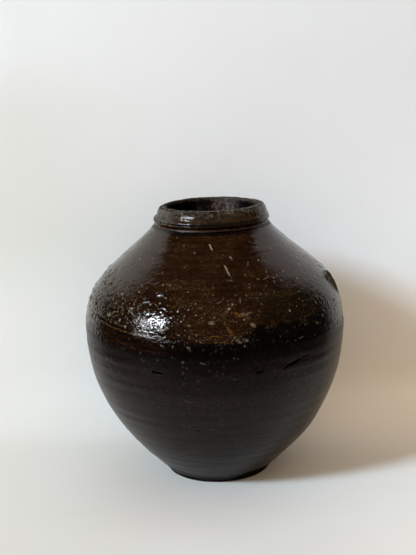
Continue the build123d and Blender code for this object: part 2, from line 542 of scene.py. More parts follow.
class Paint:
    def __init__(self, name):
        self.material = bpy.data.materials.new(name)
        self.material.use_nodes = True
        self.tree = self.material.node_tree
        self.tree.nodes.clear()
        self.place = self.node("ShaderNodeTexCoord", out="Object")

    def axis(self, name):
        # how far a spot lies along X, Y or Z, in metres
        return self.node("ShaderNodeSeparateXYZ", {}, (self.place,), out=name)

    def node(self, kind, settings=None, inputs=(), out=0):
        made = self.tree.nodes.new(kind)
        for key, value in (settings or {}).items():
            if key == "stops":
                while len(made.color_ramp.elements) < len(value):
                    made.color_ramp.elements.new(0.5)
                for element, (at, colour) in zip(made.color_ramp.elements, value):
                    element.position, element.color = at, (*colour, 1)
            else:
                setattr(made, key, value)
        for key, value in inputs.items() if isinstance(inputs, dict) else enumerate(inputs):
            if isinstance(value, Wire):
                self.tree.links.new(value.socket, made.inputs[key])
            else:
                made.inputs[key].default_value = value
        return Wire(self, made.outputs[out])

    def field(self, name):
        return self.node("ShaderNodeAttribute", {"attribute_name": name}, out="Fac")

    def stretched(self, wide, tall):
        # divides the place in metres by sizes in mm, so that noise of scale 1 has features of those sizes
        factors = tuple(1 / (size * mm) for size in (wide, wide, tall))
        return self.node("ShaderNodeVectorMath", {"operation": "MULTIPLY"}, (self.place, factors))

    def noise(self, wide, tall, detail, rough):
        where = self.stretched(wide, tall)
        inputs = {"Vector": where, "Scale": 1.0, "Detail": detail, "Roughness": rough}
        return self.node("ShaderNodeTexNoise", {}, inputs)

    def grains(self, size, least, most):
        # dots of random size, about one to a cell of that many mm: 1 inside a dot, 0 outside,
        # then a random number for each dot, and how deep a cone-shaped pit there is, in mm
        inputs = {"Vector": self.place, "Scale": 0.9 / (size * mm)}
        drift = self.node("ShaderNodeTexNoise", {}, inputs, out="Color")
        drift = self.node("ShaderNodeVectorMath", {"operation": "MULTIPLY"}, (drift, (0.3, 0.3, 0.3)))
        where = self.stretched(size, size)
        where = self.node("ShaderNodeVectorMath", {"operation": "ADD"}, (where, drift))
        cells = self.node("ShaderNodeTexVoronoi", {"feature": "F1"}, {"Vector": where, "Scale": 1.0})
        tint = Wire(self, cells.socket.node.outputs["Color"])
        chance = self.node("ShaderNodeSeparateColor", {}, (tint,))
        inside = chance.step(least, most) * 0.42 - cells
        return inside.step(-0.03, 0.07), chance, inside.max(0.0) * size

    def blend(self, share, first, second):
        settings = {"data_type": "RGBA", "clamp_factor": True}
        inputs = {0: share, 6: first, 7: second}
        inputs = {k: (*v, 1) if isinstance(v, tuple) else v for k, v in inputs.items()}
        return self.node("ShaderNodeMix", settings, inputs, out=2)

    def ramp(self, share, stops):
        return self.node("ShaderNodeValToRGB", {"stops": stops}, (share,))

    def finish(self, colour, roughness, height, ior, glossier=None, higherIor=None, cracksAndShade=None):
        bump = self.node("ShaderNodeBump", {}, {"Strength": 1.0, "Distance": mm, "Height": height})
        inputs = {"Base Color": colour, "Roughness": roughness, "Normal": bump, "IOR": ior}
        shader = self.node("ShaderNodeBsdfPrincipled", {}, inputs)
        if glossier:  # a second glaze that mirrors more, mixed in by a mask
            second = self.node("ShaderNodeBsdfPrincipled", {}, inputs | {"IOR": higherIor})
            shader = self.node("ShaderNodeMixShader", {}, (glossier, shader, second))
        # deep black, mixed in by a mask: real cracks and pits, and painted shade
        if cracksAndShade:
            deep = self.node("ShaderNodeBsdfPrincipled", {}, deepPlacesAndShade)
            shader = self.node("ShaderNodeMixShader", {}, (cracksAndShade, shader, deep))
        self.output(shader)
        return self.material

    def output(self, shader):
        made = self.tree.nodes.new("ShaderNodeOutputMaterial")
        self.tree.links.new(shader.socket, made.inputs["Surface"])


def shade(colour, share):
    return tuple(value * share for value in colour)


# What a user would change in the glaze.
glaze = {
    "bodyIor": 1.262,
    "shoulderIor": 1.43,
    "bodyDark": (0.0020, 0.0010, 0.0007),
    "bodyPale": (0.0088, 0.0040, 0.0026),
    "bodyGrit": (0.046, 0.031, 0.022),
    # the band's black is partly the glaze's own and partly painted shade
    "bandDarkAndShade": (0.0009, 0.0004, 0.0003),
    "shoulderDark": (0.0050, 0.0017, 0.0006),
    "shoulderMiddle": (0.0148, 0.0054, 0.0016),
    "shoulderPale": (0.035, 0.0155, 0.0057),
    "olive": (0.0105, 0.0070, 0.0026),
    "red": (0.034, 0.0077, 0.0014),
    "amber": (0.15, 0.062, 0.012),
    "ash": (0.33, 0.262, 0.175),
    "bareClay": (0.105, 0.084, 0.045),
    "black": (0.0012, 0.0009, 0.0008),
    "shoulderRough": 0.04,
    "bodyRough": 0.29,
    "insideDark": (0.006, 0.003, 0.002),
    "insideMiddle": (0.024, 0.012, 0.0075),
    "insidePale": (0.11, 0.072, 0.052),
    "insideIor": 1.45,
}


def wallGlaze():
    g = glaze
    p = Paint("wall glaze")
    seamGap, scarGap = p.field("seamGap"), p.field("scarGap")
    ashGap, pitGap, slitGap, amberGap, dashGap = (p.field(kind + "Gap") for kind in shownMarks)
    toNeck = float(lineLength) - p.field("along")
    x, y = p.axis("X") * 1000, p.axis("Y") * 1000
    fineLine = p.noise(26, 1.1, 3, 0.6)
    wideLine = p.noise(60, 3.2, 2, 0.55)
    cloud = p.noise(26, 18, 3, 0.55)
    blot = p.noise(6.5, 3.5, 3, 0.6)
    mottle = p.noise(2.6, 1.8, 3, 0.65)
    grit = p.noise(1.1, 1.1, 2, 0.6)
    # the dark band of the body climbs over the seam at the right; its black is partly the glaze's own and
    # partly painted shade, where the glaze mirrors only a dark room
    toRight = (x + blot * 20).step(18, 56)
    edgeNoise = blot.swing(10) + mottle.swing(8) + cloud.swing(14)
    above = (seamGap - toRight * 13 + edgeNoise * (toRight + 0.35)).step(-2.5, 3)
    # shoulder: brown glaze drawn out in fine level lines, more olive at the right
    tone = fineLine * 0.18 + wideLine * 0.16 + cloud * 0.2 + blot * 0.2 + mottle * 0.24 + grit * 0.22
    brown = ((0.5, g["shoulderDark"]), (0.6, g["shoulderMiddle"]), (0.72, g["shoulderPale"]))
    olive = (x + cloud.swing(60)).step(30, 62) * (seamGap + blot * 12).fall(42, 58)
    oliveTone = p.blend(tone.step(0.52, 0.68), shade(g["olive"], 0.35), g["olive"])
    shoulder = p.blend(olive * 0.8, p.ramp(tone, brown), oliveTone)
    # body: darker and satin, with a black glossy band below the seam, partly painted shade, and red-brown
    # runs at its left
    bodyTone = wideLine * 0.5 + cloud * 0.3 + mottle * 0.2
    body = p.ramp(bodyTone, ((0.36, g["bodyDark"]), (0.64, g["bodyPale"])))
    bandEdge = seamGap - toRight * 9 + blot.swing(14) + cloud.swing(16)
    band = bandEdge.step(-37, -14)
    body = p.blend(grit.step(0.5, 0.7) * mottle.step(0.38, 0.56) * 0.62, body, g["bodyGrit"])
    body = p.blend(grit.fall(0.32, 0.46) * 0.85, body, g["black"])
    body = p.blend(band * (mottle.step(0.36, 0.56) * 0.35 + 0.6), body, g["bandDarkAndShade"])
    runs = (seamGap + blot * 8).step(-17, -9) * (x + blot * 30).fall(-60, -12)
    runTone = fineLine * 0.34 + wideLine * 0.22 + mottle * 0.22 + grit * 0.22
    body = p.blend(runs * 0.9, body, p.ramp(runTone, ((0.46, g["black"]), (0.61, g["red"]))))
    colour = p.blend(above, body, shoulder)
    # amber where the glaze is thin: on the seam's ridge and in a few drawn lines
    ridge = (seamGap + 1.4 + blot.swing(2.6)).within(0.2, 0.9)
    ridge = ridge * (x + blot * 40).fall(-70, -15) * (mottle + 0.12).step(0.5, 0.66)
    amberLine = (amberGap + blot.swing(3.2) + grit.swing(1.6)).fall(-0.9, 0.4)
    amberLine = amberLine * (fineLine * 0.5 + mottle * 0.5).step(0.42, 0.6) * 0.8
    amberLine = amberLine * (above * 0.7 + 0.3)
    amberDots = (fineLine * 0.5 + blot * 0.5 - 0.56).step(0, 0.1) * above * seamGap.fall(10, 30)
    colour = p.blend((ridge * 0.42).max(amberLine).max(amberDots * 0.15), colour, g["amber"])
    groove = (seamGap - 1.1 + blot.swing(3) + mottle.swing(1.5)).within(0.5, 1.3)
    groove = groove * (x + blot * 24).fall(-74, -48) * (x + mottle * 8).step(-116, -106)
    groove = groove * (1 - y.step(-20, 20) * 0.75)
    colour = p.blend(groove * 0.95, colour, g["black"])
    # the bead under the collar: broken amber edge, black groove
    beadEdge = (toNeck - 2.2 + grit.swing(0.9)).within(0.35, 0.8)
    colour = p.blend(beadEdge * (blot + grit.swing(0.6)).step(0.5, 0.62) * 0.4, colour, g["amber"])
    front = (x.size() + blot.swing(16)).fall(36, 50)
    neckGroove = (toNeck - neckBead["grooveAt"] + mottle.swing(1.2)).within(0.45, 1.1)
    neckGroove = neckGroove.max(toNeck.fall(0.5, 1.1)) * front
    colour = p.blend(neckGroove * 0.92, colour, g["black"])
    # ash: dust all over the shoulder, thickest just above the seam, then the grains that stand out
    ashFall = (seamGap + blot.swing(10)).step(-12, 4) * (1 - seamGap.step(18, 70) * 0.9)
    ashFall = ashFall * (cloud + blot.swing(0.5)).step(0.36, 0.62) * (1 - olive * 0.55)
    dust, chance = p.grains(1.2, 0.52, 1)[:2]
    dots = p.grains(3.4, 0.8, 1)[0]
    fine = dust * ashFall * (grit + 0.15) * chance * 0.8
    flank = (x.size() + blot.swing(30)).step(34, 74) * above
    # sparse pale dots down to a little below the seam, more on the flanks, where they are partly ash and
    # partly painted glints
    sparseDotsAndGlints = seamGap.step(-70, -20) * 0.16 + flank * 0.22
    coarse = dots * (ashFall * 0.75 + 0.05 + sparseDotsAndGlints) * (mottle + 0.1).step(0.46, 0.7)
    ragged = grit.swing(1.7) + mottle.swing(2.6) + blot.swing(1.6)
    grains = (ashGap + ragged).fall(-0.7, 0.25) * (grit * 0.6 + mottle * 0.5 + 0.1).step(0.5, 0.85)
    ashTone = p.blend(grit + mottle * 0.6 - 0.25, shade(g["ash"], 0.22), g["ash"])
    colour = p.blend(fine.max(coarse).max(grains * 0.8), colour, ashTone)
    dashes = (dashGap + grit.swing(1.2)).fall(-0.5, 0.3) * (mottle * 0.5 + grit * 0.5).step(0.38, 0.56)
    colour = p.blend(dashes * 0.85, colour, g["ash"])
    slits = (slitGap + mottle.swing(3) + grit.swing(1.5)).fall(-0.6, 0.2)
    dark = slits.max(pitGap.fall(-0.3, 0.2) * 0.8)
    colour = p.blend(dark, colour, g["black"])
    cracksAndShade = dark.max(groove).max(neckGroove * (blot + 0.1).step(0.42, 0.55))
    # the scar is bare clay with a black edge
    scarEdge = scarGap + mottle.swing(2)
    bare, burnt = scarEdge.fall(-0.8, -0.1), scarEdge.fall(-0.1, 0.5)
    clay = p.blend(mottle.step(0.38, 0.62), shade(g["bareClay"], 0.22), g["bareClay"])
    colour = p.blend(bare, p.blend(burnt, colour, g["black"]), clay)
    cracksAndShade = cracksAndShade.max(burnt * (1 - bare) * 0.8)
    # painted dark reflection: deep black is mixed in the middle below the seam, so it is darker and mirrors
    # less; under the groove of the neck, at the front, the glaze is darker and mirrors less too
    paintedDarkReflection = (seamGap + 27 + cloud.swing(16)).within(18, 38)
    paintedDarkReflection = paintedDarkReflection * (x.size() + blot.swing(20)).fall(36, 76)
    cracksAndShade = cracksAndShade.max(paintedDarkReflection * 0.32).max((toNeck - 6.3).within(1.2, 2.6) * front * 0.8)
    glossy = above.max(bandEdge.step(-24, -6) * 0.9) * (1 - bare) * (1 - toNeck.fall(3, 8) * 0.6)
    rough = glossy * (g["shoulderRough"] - g["bodyRough"]) + g["bodyRough"]
    rough = rough + (toNeck - neckBead["grooveAt"]).within(1.4, 3) * 0.3 + mottle.swing(0.1)
    rough = rough + fine.max(grains).max(bare).max(dark) * 0.38
    # open bubbles and holes break up what the glaze mirrors, and the red runs mirror less
    openSpots = above * seamGap.fall(20, 42) * (x + blot * 16).fall(-34, -14)
    bubbles = p.grains(3.1, 0, 0.85)[2] * openSpots
    offFlank = (x + blot * 12).step(-112, -98)
    cracksAndShade = cracksAndShade.max((mottle * 0.6 + grit * 0.4).fall(0.46, 0.5) * openSpots * offFlank * 0.95)
    cracksAndShade = cracksAndShade.max(runs * (1 - above) * offFlank * 0.4)
    wavy = above * (1 - seamGap.step(30, 70) * 0.85)
    height = fineLine.swing(0.09 - wavy * 0.05) + grit.swing(0.21 - above * 0.19 + flank * 0.15)
    height = height + blot.swing(wavy * 0.11 + 0.06) + mottle.swing(wavy * 0.03 + 0.07 + flank * 0.16)
    height = height + fine * 0.08 + coarse * 0.14 - dark * 0.15 - bubbles * 0.55 + grains * grit * 0.2
    return p.finish(colour, rough, height, g["bodyIor"], glossy, g["shoulderIor"], cracksAndShade)


def insideGlaze():
    g = glaze
    p = Paint("inside glaze")
    fineLine = p.noise(40, 1.6, 2, 0.55)
    blot = p.noise(7, 9, 3, 0.6)
    cloud = p.noise(22, 26, 2, 0.5)
    stops = ((0.36, g["insideDark"]), (0.55, g["insideMiddle"]), (0.72, g["insidePale"]))
    colour = p.ramp(fineLine * 0.3 + blot * 0.4 + cloud * 0.3, stops)
    height = fineLine.swing(0.25) + blot.swing(0.2)
    return p.finish(colour, 0.3 + blot * 0.2, height, g["insideIor"])


collarLook = {
    "dark": (0.0095, 0.0055, 0.0032),
    "middle": (0.027, 0.0175, 0.0105),
    "pale": (0.076, 0.058, 0.04),
    "red": (0.034, 0.0135, 0.0055),
    # pale flecks, partly wear and partly painted sheen
    "fleckAndSheen": (0.125, 0.105, 0.07),
    "lip": (0.18, 0.145, 0.085),
    "amber": (0.26, 0.11, 0.022),
    "throatDark": (0.001, 0.0008, 0.0007),
    "throatBrown": (0.012, 0.007, 0.0042),
    # the pale of the throat where the window's light is painted
    "throatLitPale": (0.125, 0.084, 0.058),
    "throatRed": (0.04, 0.008, 0.004),
    "underLip": (0.055, 0.039, 0.024),
    "black": (0.0012, 0.0009, 0.0008),
    "ior": 1.29,
}


def collarGlaze():
    c = collarLook
    p = Paint("collar glaze")
    level, lipGap, inner, grooveGap = (p.field(key) for key in ("level", "lipGap", "inner", "grooveGap"))
    x = p.axis("X") * 1000
    line = p.noise(30, 0.9, 2, 0.55)
    blot = p.noise(4.5, 3.5, 3, 0.6)
    grit = p.noise(1, 1, 2, 0.6)
    mottle = p.noise(2.4, 2.8, 2, 0.6)
    cloud = p.noise(16, 12, 2, 0.5)
    drips = p.noise(3.4, 13, 3, 0.6)
    tone = blot * 0.4 + line * 0.2 + cloud * 0.25 + grit * 0.15
    colour = p.ramp(tone, ((0.4, c["dark"]), (0.53, c["middle"]), (0.68, c["pale"])))
    lowRoll = (level + blot.swing(4)).step(271.5, 274)
    colour = p.blend(lowRoll * 0.75 + 0.25, c["dark"], colour)
    # pale flecks on the upper roll, worn glaze, and at the left end, partly painted sheen; dark mottles at
    # both ends, red in the hollow
    flecks = (level + blot.swing(6)).step(276, 281) * (grit * 0.6 + blot * 0.4).step(0.5, 0.6)
    leftEnd = (x + blot.swing(14)).fall(-46, -32)
    leftFlecksAndSheen = leftEnd * (blot * 0.6 + grit * 0.4).step(0.43, 0.57) * 0.85
    colour = p.blend((flecks * 0.6).max(leftFlecksAndSheen), colour, c["fleckAndSheen"])
    ends = (x.size() + blot.swing(14)).step(34, 50)
    colour = p.blend(ends * (mottle * 0.5 + grit * 0.5).fall(0.42, 0.5) * 0.8, colour, c["black"])
    hollow = (level - 274.6 + blot.swing(4)).within(0.6, 2.4)
    colour = p.blend(hollow * (cloud + 0.1).step(0.46, 0.62) * 0.85, colour, c["red"])
    # painted light and shade in the throat: black at the left, where shade falls, and blotched with pinkish
    # grey where the window's light reaches it
    far = (x + blot.swing(26)).step(-13, 8) * (x + drips.swing(26)).fall(22, 35)
    far = far.max((x + 10 + blot.swing(14)).within(3, 11) * 0.55)
    far = far + (x + blot.swing(8)).step(38, 43) * 0.6
    throatTone = drips * 0.3 + blot * 0.35 + cloud * 0.1 + grit * 0.25 + (far - 0.72) * 0.13
    stops = ((0.485, c["throatDark"]), (0.525, c["throatBrown"]), (0.575, c["throatLitPale"]))
    throat = p.blend(blot.fall(0.42, 0.5) * far * 0.8, p.ramp(throatTone, stops), c["throatRed"])
    throat = p.blend(mottle.fall(0.38, 0.48) * 0.9, throat, c["throatDark"])
    underLip = (level + blot.swing(4)).step(278.6, 281) * (mottle * 0.6 + grit * 0.4).step(0.36, 0.56)
    throat = p.blend(underLip * 0.8, throat, c["underLip"])
    colour = p.blend(inner, colour, throat)
    # glaze is worn off the lip, and chipped off the lower edge at the left
    worn = (lipGap + blot.swing(4.8) + grit.swing(2.4)).fall(-0.4, 0.5) * (grit + blot).step(0.86, 1.12)
    colour = p.blend(worn, colour, p.blend(blot.step(0.38, 0.62), shade(c["lip"], 0.3), c["lip"]))
    edge = (level - 268.1 + grit.swing(0.8)).within(0.35, 0.8)
    chips = edge * (1 - inner) * (blot + grit.swing(0.5)).step(0.52, 0.62) * x.fall(-45, -20)
    colour = p.blend(chips * 0.8, colour, c["amber"])
    black = (grooveGap + grit.swing(0.5) + blot.swing(1.6)).fall(0.2, 0.9)
    black = black * (1 - (x.size() + blot.swing(16)).step(40, 54) * 0.85)
    colour = p.blend(black * 0.85, colour, c["black"])
    coarse = flecks.max(leftEnd)
    rough = 0.11 + blot * 0.14 + worn * 0.35 + inner * 0.3 + coarse * 0.22
    height = blot.swing(0.34 + coarse * 0.4) + grit.swing(0.07 + coarse * 0.2)
    height = height + line.swing(0.08) + drips.swing(inner) * 0.3
    # the groove and small pits round the worn lip mirror nothing; the throat is made dark and unmirroring as
    # painted shade, except where the window's light is painted and under the lip
    spots = (lipGap + blot.swing(3)).fall(0.5, 2.6) * (mottle * 0.6 + grit * 0.4).fall(0.49, 0.58)
    cracksAndShade = black.max(inner * (0.85 - far * 0.6) * (1 - underLip)).max(spots * 0.85)
    return p.finish(colour, rough, height, c["ior"], cracksAndShade=cracksAndShade)


footLook = {
    "glazedDark": (0.0018, 0.0009, 0.0006),
    "glazedPale": (0.013, 0.0068, 0.004),
    "bareDark": (0.028, 0.02, 0.014),
    "barePale": (0.085, 0.062, 0.045),
    "ior": 1.19,
}


def footClay():
    f = footLook
    p = Paint("foot clay")
    side = p.field("side")
    x, z = p.axis("X") * 1000, p.axis("Z") * 1000
    blot = p.noise(5, 2.5, 3, 0.6)
    line = p.noise(50, 1.3, 2, 0.6)
    grit = p.noise(0.9, 0.9, 2, 0.6)
    glazed = p.ramp(blot * 0.5 + line * 0.5, ((0.36, f["glazedDark"]), (0.64, f["glazedPale"])))
    bare = p.ramp(blot * 0.6 + grit * 0.4, ((0.35, f["bareDark"]), (0.65, f["barePale"])))
    colour = p.blend((side + blot.swing(0.5)).step(0.3, 0.55), bare, glazed)
    rough = 0.72 - side * 0.38 + grit.swing(0.2)
    height = blot.swing(0.3) + grit.swing(0.1) + line.swing(0.3)
    # painted shade: the foot is made dark and unmirroring close to the table, and further up at the right,
    # where the jar's own shadow falls
    low = (z + blot.swing(4) - x.step(8, 46) * 13).fall(1, 6.5) * side * 0.85
    return p.finish(colour, rough, height, f["ior"], cracksAndShade=low)


wallPaint, insidePaint = wallGlaze(), insideGlaze()
collarPaint, footPaint = collarGlaze(), footClay()
print("materials made")


# What the glaze's fields say inside the jar, where no mark of the outside is near.
insideFields = {"along": 0.0, "seamGap": -60.0}
farFromMark = 3.0


# The wall, one shell for each strip of clay.
def wallShell(name, solid, low, high):
    columns, count = w["columns"], w["innerRows"]
    rows = int(round((high - low) * lineLength / w["rowStep"])) + 1
    angles = ringAngles(columns)
    along = np.linspace(low, high, rows) * lineLength
    # a spare row at each end, for the slope of the surface there
    spare = (high - low) * lineLength / (rows - 1)
    padded = np.clip([along[0] - spare, *along, along[-1] + spare], 0, lineLength)
    grid = np.broadcast_arrays(angles, padded[:, None])
    lift, fields = wallFields(*grid)
    outside = onWall(*grid, lift)
    # the inside follows its own line, a lap lower, with the marks of fingers on it
    inAlong = np.linspace(high, low, count) - w["lapDrop"] / lineLength
    inR, inZ = innerOnLine(np.clip(inAlong, 0, 1))
    if low == 0:
        inR[-1], inZ[-1] = floorCorner, basePoint[1]
    if high == 1:
        inR[0], inZ[0] = w["boreRadius"], neckPoint[1]
    inZ = inZ[:, None] + angles * 0
    ripple = surface["fingers"] * ringNoise(angles, 2, 4, inZ / 5.0, 21)
    inR = inR[:, None] + ripple * np.sin(np.linspace(0, math.pi, count))[:, None]
    inside = ringSpots(inR, inZ, angles)
    fields = {
        key: np.concatenate([value[1:-1], np.full(inZ.shape, insideFields.get(key, farFromMark))])
        for key, value in fields.items()
    }
    spots = np.concatenate([outside[1:-1], inside])
    normals = np.concatenate([surfaceNormals(outside), np.zeros_like(inside)])
    bands = (
        (0, rows - 1, 4, 0.83),
        (rows - 1, rows, 1, 0.02),
        (rows, rows + count - 1, 2, 0.12),
        (rows + count - 1, rows + count, 1, 0.022),
    )
    made = ringShell(name, spots, fields, normals, bands, (solid,), wallPaint)
    made.data.materials.append(insidePaint)
    which = np.zeros((rows + count, columns), np.int32)
    which[rows:] = 1
    made.data.polygons.foreach_set("material_index", which.ravel())


for name, solid, low, high in strips:
    wallShell(name, solid, low, high)
print("wall made")

# The collar: undercut, bead, groove, leaning band, worn lip and straight bore.
collar = {
    "root": (55.3, 266.1),
    "underside": (58.7, 267.3),
    "bulge": (59.4, 269.0),
    "lipShoulder": (54.4, 281.9),
    "lipRound": 1.1,
    "lipTop": 283.0,
    "lipMiddle": 50.4,
    "lipFlat": 2.3,
    "boreRound": 1.4,
    "inside": (47.2, 49.0),
    "outside": (47.5, 52.0),
    # two rolls with a hollow between them: height, reach and lift
    "rolls": ((275.6, 3.0, -0.75), (274.2, 1.3, -0.3), (269.0, 1.6, 0.45)),
    "slimmer": 1.9,
    "grooveAt": 270.0,
    "grooveAngle": -130,
    "chipAt": 268.4,
    "chip": 0.75,
    "lipWear": 0.4,
    "step": 0.36,
    "arcSteps": 6,
    "columns": 896,
}


def arc(middle, radius, start, end, count):
    turns = np.linspace(start, end, count)
    return [(middle[0] + radius * math.cos(t), middle[1] + radius * math.sin(t)) for t in turns]


def collarLine():
    c = collar
    lean = c["bulge"][0] - c["lipShoulder"][0]
    tall = c["lipShoulder"][1] - c["bulge"][1]
    bow = (lean**2 + tall**2) / (2 * lean)
    band = arc((c["bulge"][0] - bow, c["bulge"][1]), bow, 0, math.asin(tall / bow), 4 * c["arcSteps"])
    lipMiddle = (c["lipShoulder"][0] - c["lipRound"], c["lipTop"] - c["lipRound"])
    lip = arc(lipMiddle, c["lipRound"], 0.5, math.pi / 2, c["arcSteps"])
    boreMiddle = (w["boreRadius"] + c["boreRound"], c["lipTop"] - c["boreRound"])
    inner = arc(boreMiddle, c["boreRound"], math.pi / 2, math.pi, c["arcSteps"])
    points = np.array([c["root"], c["underside"], *band, *lip, *inner, (w["boreRadius"], c["root"][1])])
    length = lengthsAlong(points)
    line = pointsAt(np.arange(0, length[-1], c["step"]), length, points)
    for _ in range(2):  # takes the sharpness off the corners
        line[1:-1] = (line[:-2] + 2 * line[1:-1] + line[2:]) / 4
    return line


def collarShell():
    c = collar
    line = collarLine()
    along = directions(line)
    angles, r, z, place = spun(line, c["columns"])
    flatPlace = (place[0], place[1], z * 0)
    outer = easeStep(r, *c["outside"])
    lift = 0.28 * grainNoise(place, 24, 9, 31) - 0.15 * outer
    lift += 0.30 * grainNoise(place, 8, 3.6, 32) * outer + 0.09 * grainNoise(place, 2.6, 1.6, 33)
    for height, reach, rise in c["rolls"]:
        lift += rise * hump(z, height, reach) * outer
    # slimmer at the left, where the groove above the lower edge is deepest too
    lift -= c["slimmer"] * np.maximum(-np.cos(angles), 0) ** 2 * easeStep(z, 270.5, 275.5) * outer
    groove = z - c["grooveAt"] - 0.35 * grainNoise(flatPlace, 30, 1, 34)
    deep = 0.3 + 0.5 * easeStep(-abs(degreesFrom(angles, c["grooveAngle"])), -75, -25)
    lift -= deep * hump(groove, 0, 0.5) * outer
    chip = easeStep(grainNoise(place, 5.5, 6, 35), 0.25, 0.6)
    lift -= c["chip"] * chip * hump(z, c["chipAt"], 1.3) * outer
    wear = easeStep(grainNoise(place, 8, 8, 36), 0.1, 0.7)
    lift -= c["lipWear"] * easeStep(z, 280.2, 282.4) * wear
    tip = (z > 282.0) * 0.12 * (1 + grainNoise(flatPlace, 26, 1, 37))
    top = np.minimum(z - lift * along[:, 0, None] - tip, c["lipTop"])
    spots = ringSpots(r + lift * along[:, 1, None], top, angles)
    # how far a spot lies from the worn flat of the lip, and from the nearest groove
    sideways = np.maximum(abs(r - c["lipMiddle"]) - c["lipFlat"], 0)
    down = np.maximum(c["lipTop"] - 0.5 - z, 0)
    toGroove = np.where(r > 55, abs(groove) + 0.8 - deep, 3.0)
    fields = {
        "level": z,
        "lipGap": np.hypot(sideways, down),
        "inner": 1 - easeStep(r, *c["inside"]),
        "grooveGap": np.minimum(toGroove, abs(z - 266.4)),
    }
    rows = len(line)
    bands = ((0, rows - 1, 4, 0.93), (rows - 1, rows, 1, 0.05))
    ringShell("mouth_collar", spots, fields, None, bands, ("rim_collar",), collarPaint)


collarShell()
print("collar made")

# The foot: a disc of beaten clay, hollowed a little underneath, and the coil pressed into the corner.
# Its outline is radius and height, and the rows of its edge lie closer together.
foot = {
    "underside": ((0.05, 1.4), (20, 1.15), (36, 0.35), (40, 0.0)),
    "edge": ((54.0, 0.0), (55.2, 0.8), (55.8, 2.1), (56.3, 3.6), (57.8, 5.6), (60.2, 8.0), (63.4, 11.0)),
    "floor": ((52.0, 11.0), (30.0, 10.9), (0.05, 10.7)),
    "coarseStep": 1.6,
    "fineStep": 0.45,
    "coilTop": 0.04,
    "columns": 448,
}


def footShell():
    f = foot
    points = np.array([*f["underside"], *f["edge"], *f["floor"]])
    length = lengthsAlong(points)
    edgeFrom, edgeTo = length[len(f["underside"])], length[-len(f["floor"]) - 1]
    at = np.concatenate([
        np.arange(0, edgeFrom, f["coarseStep"]),
        np.arange(edgeFrom, edgeTo, f["fineStep"]),
        np.arange(edgeTo, length[-1], f["coarseStep"]),
        length[-1:],
    ])
    line = pointsAt(at, length, points)
    angles, r, z, place = spun(line, f["columns"])
    side = easeStep(r, 53.5, 55.6) * easeStep(z, -0.2, 0.8) * (1 - easeStep(z, 9.5, 11.0))
    rough = 0.35 * grainNoise(place, 9, 3, 41) + 0.18 * grainNoise(place, 3, 1.7, 42)
    r = r + (rough + 0.22 * ringNoise(angles, 2, 0, z / 2.2, 46) - 0.1) * side
    floorBump = 0.25 * grainNoise(place, 8, 8, 43) * (r < 50) * (z > 6)
    hollow = 0.2 * easeStep(grainNoise(place, 5, 8, 44), 0.2, 0.7) * (z < 2)
    spots = ringSpots(r, z + floorBump + hollow, angles)
    fields = {"side": easeStep(z, 0.5, 1.6) * easeStep(r, 50, 55)}
    rows, low, high = len(line), int((at < edgeFrom).sum()), int((at < edgeTo).sum())
    bands = ((0, low, 2, 0.3), (low, high, 4, 0.36), (high, rows - 1, 2, 0.3), (rows - 1, rows, 1, 0.02))
    ringShell("foot_disc", spots, fields, None, bands, ("base_disc",), footPaint)


def coilShell():
    corner, base = floorCorner, basePoint[1]
    topR, topZ = innerOnLine(foot["coilTop"])
    # its face comes down from the wall in a hollow curve and runs out on the floor
    face = [(corner - 1.2 + k, base + 0.6 + 0.95 * k + 0.12 * k * k) for k in (3.2, 2.0, 0.8)]
    face += [(corner - 3.6, base + 0.35), (corner - 6.4, base + 0.1)]
    back = [(corner - 9.0, base), (corner, base), (corner + 3.2, base + 3.2), (topR - 1.0, topZ + 0.2)]
    line = np.array(back + face)
    angles, r, z = spun(line, foot["columns"])[:3]
    wave = 0.3 * ringNoise(angles, 5, 0, z / 3, 45)
    spots = ringSpots(r, z + np.maximum(wave, 0) * (r < corner), angles)
    bands = ((0, len(line), 4, 0.98),)
    ringShell("corner_bead", spots, {"along": z}, None, bands, ("corner_coil",), insidePaint)


footShell()
coilShell()
print("foot made")


# Floor, backdrop and light: a pale sheet that rises close behind the jar, and a window at the left,
# in metres. The tones are soft tints on that sheet, each with its strength; several are painted light and
# shade.
studio = {
    "wallAt": 0.141,
    "bend": 0.08,
    "floorFront": (0.715, 0.715, 0.715),
    "floorBack": (0.80, 0.80, 0.79),
    "floorRight": (0.825, 0.825, 0.815),
    "wallPaper": (0.784, 0.792, 0.811),
    "shadow": (0.26, (0.47, 0.39, 0.36)),
    "brownShadow": (0.2, (0.60, 0.45, 0.30)),
    "tones": {
        "mottled": (0.03, (0.45, 0.42, 0.2)),
        "upperRight": (0.15, (0.3, 0.3, 0.3)),
        "upperLeft": (0.15, (0.31, 0.30, 0.09)),
        "bouncedLight": (0.5, (1.0, 1.0, 1.0)),
        "yellowed": (0.12, (0.76, 0.70, 0.42)),
        "bendLeft": (0.12, (0.95, 0.88, 0.80)),
        "warmShadowRight": (0.5, (0.78, 0.70, 0.58)),
    },
    "farColour": (0.80, 0.80, 0.79, 1),
    "roomColour": (0.9, 0.85, 0.78, 1),
    "roomStrength": 0.03,
    "aim": (0, 0, 0.17),
    "windowAway": 9.0,
}

# The window at the left lights the scene. The glaze mirrors it as a pane, a lamp that only gloss sees.
# Angles are in degrees and sizes in metres.
windows = {
    "window": {
        "angle": -145.0,
        "rise": 33.0,
        "size": (1.5, 1.65),
        "power": 866.0,
        "colour": (0.66, 0.84, 1.0),
    },
    "window_pane": {
        "angle": -145.0,
        "rise": 21.9,
        "size": (2.3, 1.4),
        "power": 1500.0,
        "colour": (0.85, 0.93, 1.0),
    },
}

# Two soft fills: name, where they shine from, power, colour and spread in degrees.
fills = (
    ("warm_room", (0.0, -1.0, 0.9), 2.12, (1.0, 0.76, 0.52), 160),
    ("paper_bounce", (0.0, 1.4, 0.9), 0.5, (0.94, 0.97, 1.0), 110),
)


